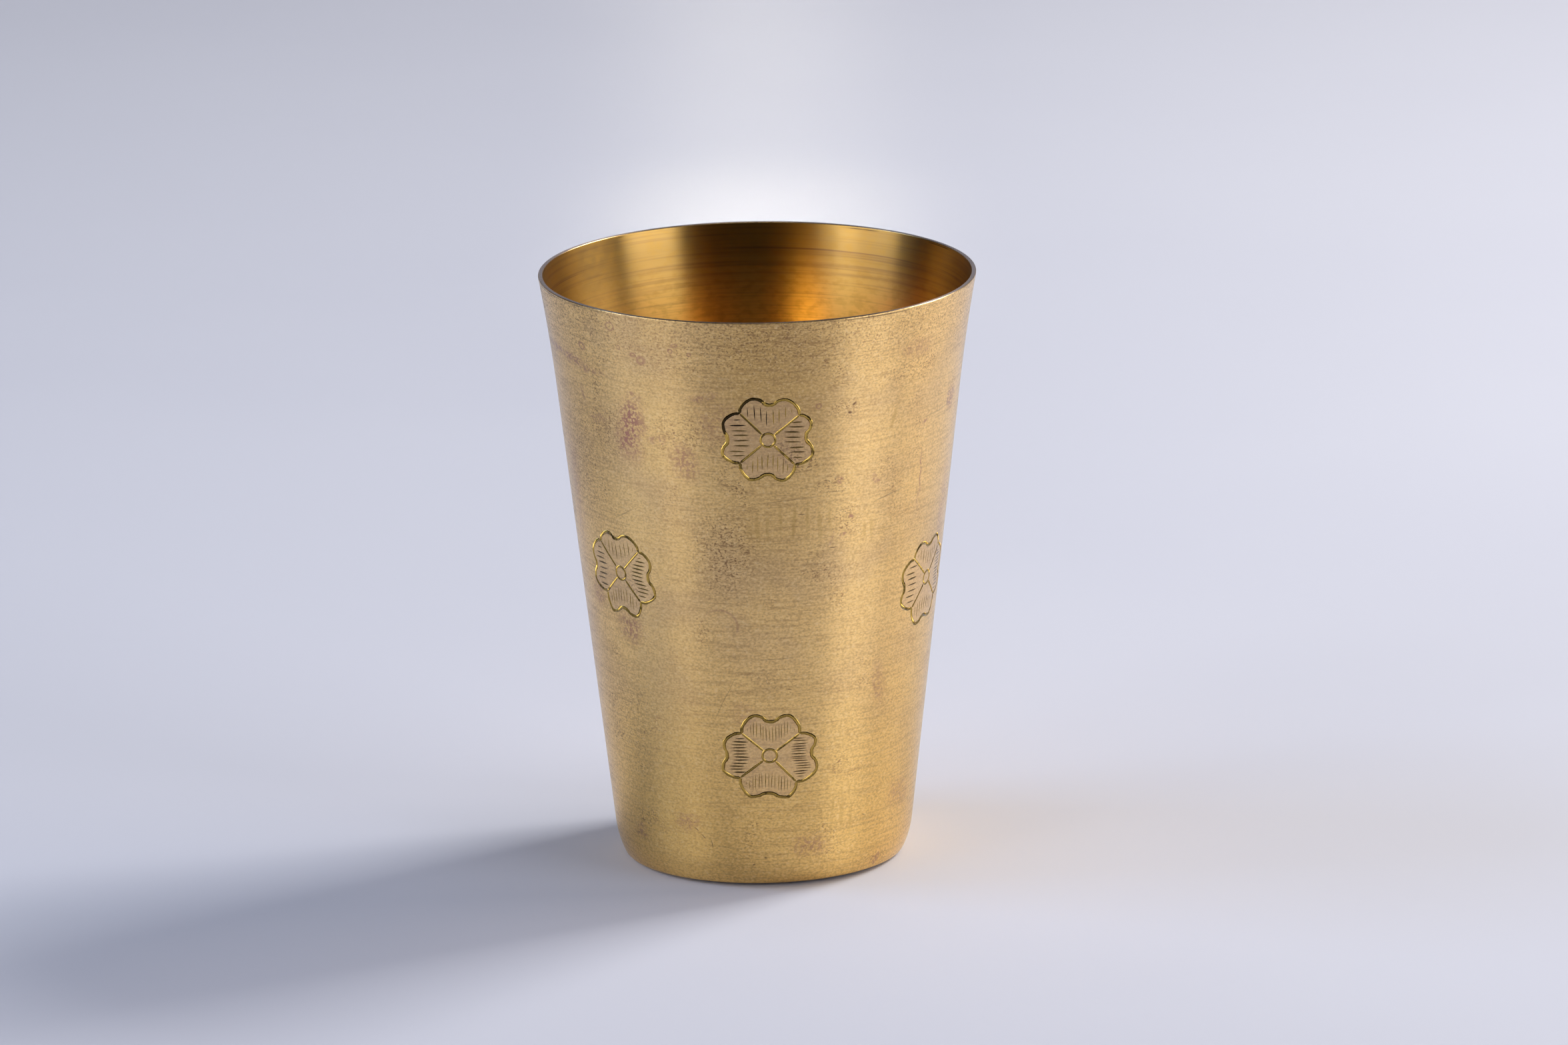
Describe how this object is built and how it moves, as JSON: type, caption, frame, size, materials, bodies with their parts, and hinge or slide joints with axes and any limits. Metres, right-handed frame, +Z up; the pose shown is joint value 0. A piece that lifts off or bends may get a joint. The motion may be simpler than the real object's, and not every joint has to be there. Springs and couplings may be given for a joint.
{
  "type": "brass tumbler",
  "caption": "Plain tapered brass drinking tumbler with a slightly flared lip, hand-engraved flowers on the wall and a flat base let in above a turned-in foot.",
  "frame": {"origin": "centre of the foot, on the surface that the tumbler stands on", "axes": "+Z up along the tumbler's axis of turning, -Y towards the viewer, +X to the viewer's right"},
  "size_m": [0.078, 0.078, 0.1069],
  "materials": {
    "worn_brass": "satin, turned and brushed round the wall, lightly tarnished, with bright engraved cuts",
    "brazing_metal": "dull, as it flowed, slightly paler than the wall"
  },
  "bodies": {
    "root": {"tumbler_wall": "worn_brass", "base_disc": "worn_brass", "brazed_fillet": "brazing_metal"}
  },
  "joints": []
}
